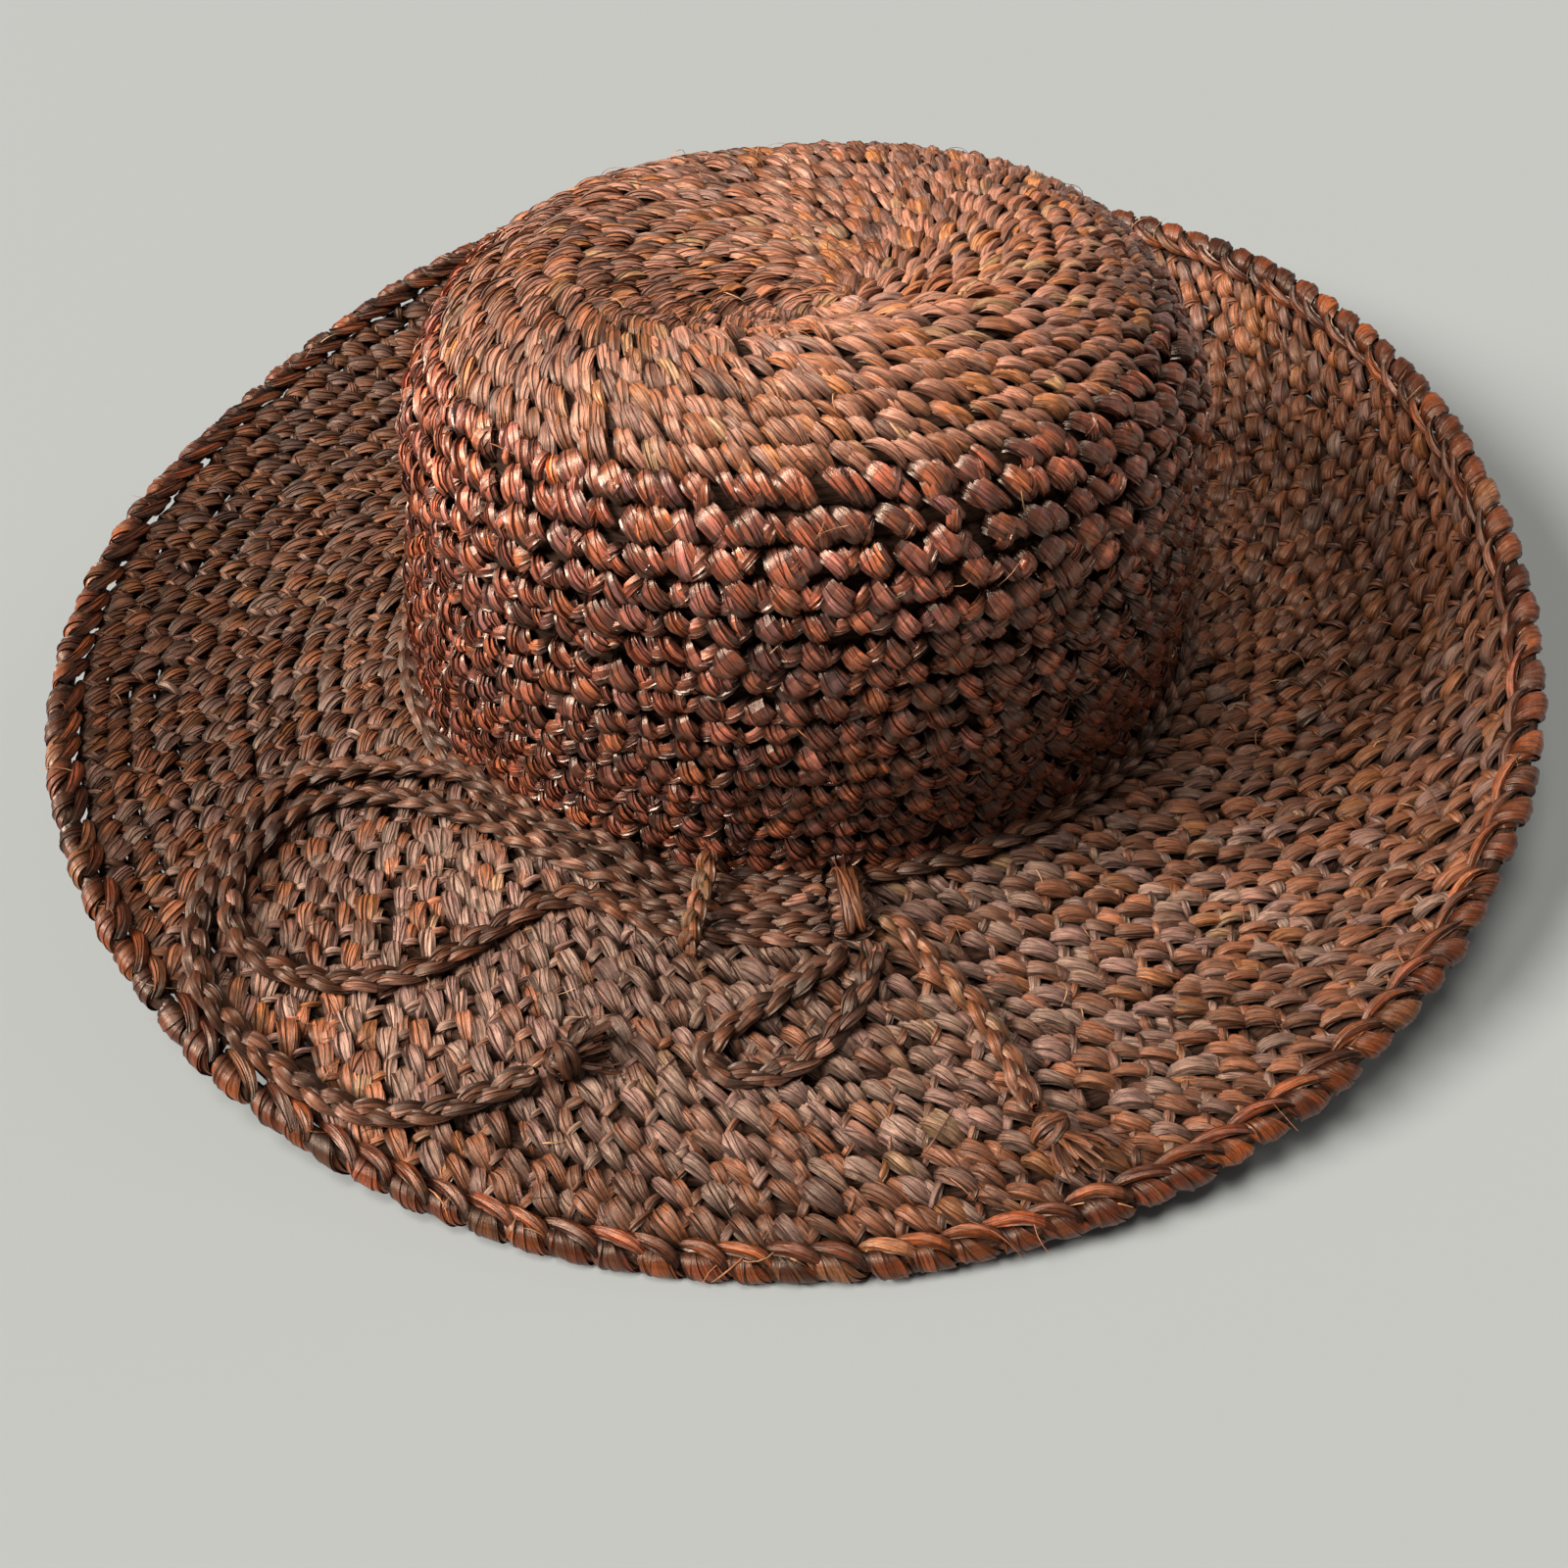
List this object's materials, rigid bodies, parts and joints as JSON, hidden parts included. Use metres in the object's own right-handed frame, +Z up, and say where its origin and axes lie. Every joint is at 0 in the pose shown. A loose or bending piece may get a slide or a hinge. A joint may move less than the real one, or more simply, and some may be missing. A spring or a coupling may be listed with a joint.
{
  "type": "sun hat",
  "caption": "Crocheted raffia sun hat with a wide upturned brim, a low round crown, rope edging and a braided cord tied in a bow.",
  "frame": {"origin": "centre of the hat's outline on the surface it lies on, with the cord's free ends left out", "axes": "+Z up out of the crown, -Y to the front where the cord is tied, +X to the wearer's left"},
  "size_m": [0.3675, 0.359, 0.1285],
  "materials": {
    "crown_tip_raffia": "crocheted raffia, satin, reddish brown",
    "crown_side_raffia": "crocheted raffia, satin, dark rust brown",
    "brim_raffia": "crocheted raffia, matt, greyed brown",
    "edging_raffia": "wrapped raffia, satin, orange tan",
    "braided_raffia": "braided raffia, satin, dark brown",
    "frayed_raffia": "knotted and frayed raffia, dark brown and tan",
    "keeper_raffia": "braided raffia, satin, mid brown"
  },
  "bodies": {
    "root": {"crown_tip": "crown_tip_raffia", "crown_side": "crown_side_raffia", "brim": "brim_raffia", "brim_edging": "edging_raffia", "hat_cord": "braided_raffia", "bow_knot": "braided_raffia", "left_bow_loop": "braided_raffia", "right_bow_loop": "braided_raffia", "left_cord_tail": "braided_raffia", "right_cord_tail": "braided_raffia", "left_end_knot": "frayed_raffia", "right_end_knot": "frayed_raffia", "front_keeper_loop": "keeper_raffia", "back_keeper_loop": "keeper_raffia"}
  },
  "joints": []
}
